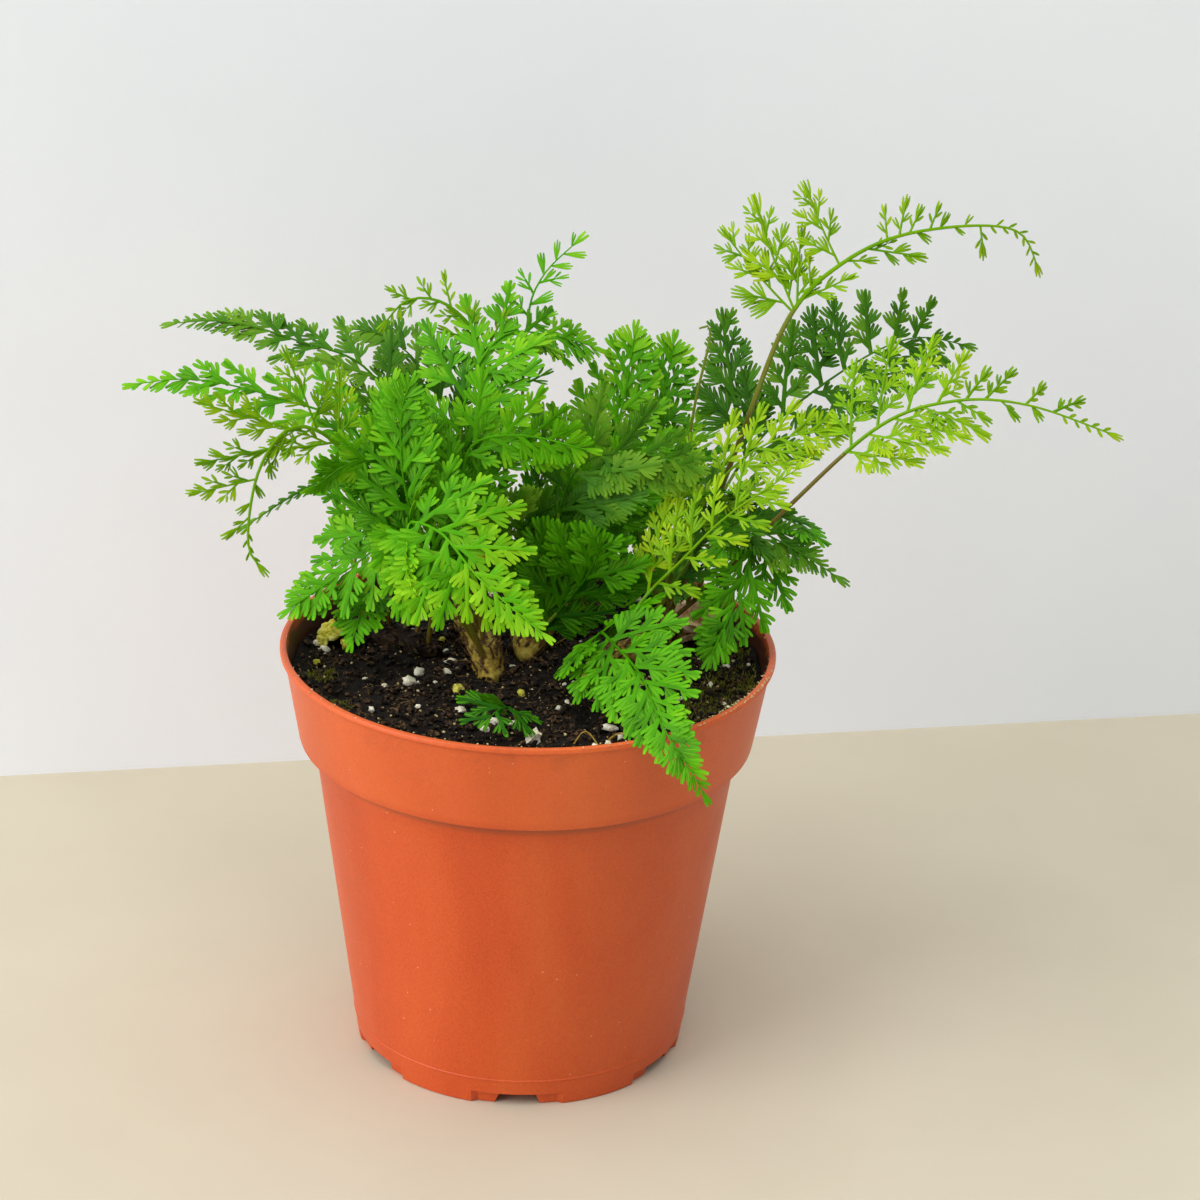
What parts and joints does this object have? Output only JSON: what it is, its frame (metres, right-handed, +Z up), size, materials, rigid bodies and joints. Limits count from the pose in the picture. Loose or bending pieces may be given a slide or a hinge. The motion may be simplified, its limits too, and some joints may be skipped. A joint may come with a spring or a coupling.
{
  "type": "potted rabbit's foot fern",
  "caption": "Small rabbit's foot fern with finely cut arching fronds, growing from creeping rhizomes in dark soil, in a tapered terracotta-coloured plastic nursery pot.",
  "frame": {"origin": "middle of the pot's underside, on the pot's own axis, where it rests", "axes": "+Z up along the pot's axis; +X to the right seen from the front, which is at -Y"},
  "size_m": [0.211, 0.1271, 0.1967],
  "materials": {
    "pot_plastic": "satin moulded polypropylene, terracotta colour",
    "soil": "damp dark peat with perlite crumbs",
    "rhizome": "scaly brown and tan rhizome",
    "stem": "smooth olive brown stem",
    "leaf_green": "satin green leaf",
    "leaf_dark": "satin dark green leaf",
    "leaf_lime": "soft lime green young leaf"
  },
  "bodies": {
    "root": {"pot": "pot_plastic", "soil": "soil", "rhizome_left": "rhizome", "rhizome_mid": "rhizome", "rhizome_core": "rhizome", "rhizome_right": "rhizome", "stem_bare": "stem", "frond_front_left": "leaf_green", "frond_front_right": "leaf_green", "frond_low_left": "leaf_green", "frond_left_arching": "leaf_lime", "frond_left_light": "leaf_green", "frond_left_dark": "leaf_dark", "frond_back_left_dark": "leaf_dark", "frond_tall_right": "leaf_lime", "frond_long_right": "leaf_lime", "frond_right_lime": "leaf_lime", "frond_young_hooked": "leaf_lime", "frond_young_upright": "leaf_green", "frond_back_right_dark": "leaf_dark", "frond_centre_light": "leaf_green", "frond_centre_dark": "leaf_dark", "frond_left_upright": "leaf_green", "frond_left_middle": "leaf_green", "frond_left_back_green": "leaf_green", "frond_top_left": "leaf_green", "frond_top_middle": "leaf_green", "frond_top_right": "leaf_green", "frond_right_small": "leaf_lime", "frond_right_low_dark": "leaf_dark", "frond_right_hanging": "leaf_dark", "frond_centre_deep": "leaf_dark", "frond_centre_low": "leaf_green", "frond_centre_green": "leaf_green", "frond_left_thin": "leaf_dark", "frond_left_soil": "leaf_dark", "frond_front_seedling": "leaf_green", "frond_back_middle": "leaf_dark", "frond_back_left": "leaf_green", "frond_back_right": "leaf_green"}
  },
  "joints": []
}
